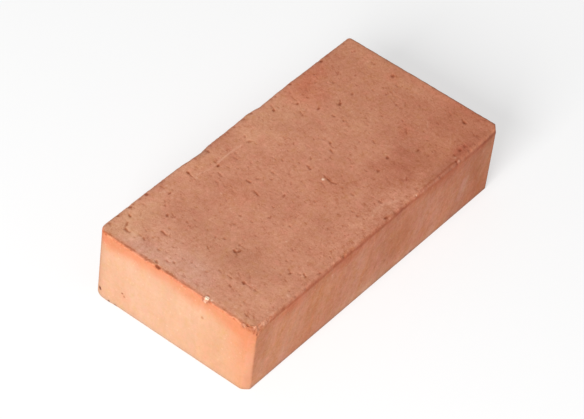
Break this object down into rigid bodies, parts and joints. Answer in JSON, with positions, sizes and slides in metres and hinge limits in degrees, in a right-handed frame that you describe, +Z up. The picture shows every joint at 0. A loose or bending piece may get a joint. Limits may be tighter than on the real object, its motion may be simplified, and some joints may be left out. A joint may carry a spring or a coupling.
{
  "type": "solid clay brick",
  "caption": "Solid wire-cut fired clay brick with smooth extruded sides, rounded upright edges and two rough wire-cut beds.",
  "frame": {"origin": "centre of the bed face that the brick lies on", "axes": "+X along the length, +Y along the width, +Z up through the height"},
  "size_m": [0.24, 0.1195, 0.052],
  "materials": {
    "fired_clay": "matte fired clay, rough and pitted on the wire-cut beds, smoother on the extruded sides"
  },
  "bodies": {
    "root": {"brick": "fired_clay"}
  },
  "joints": []
}
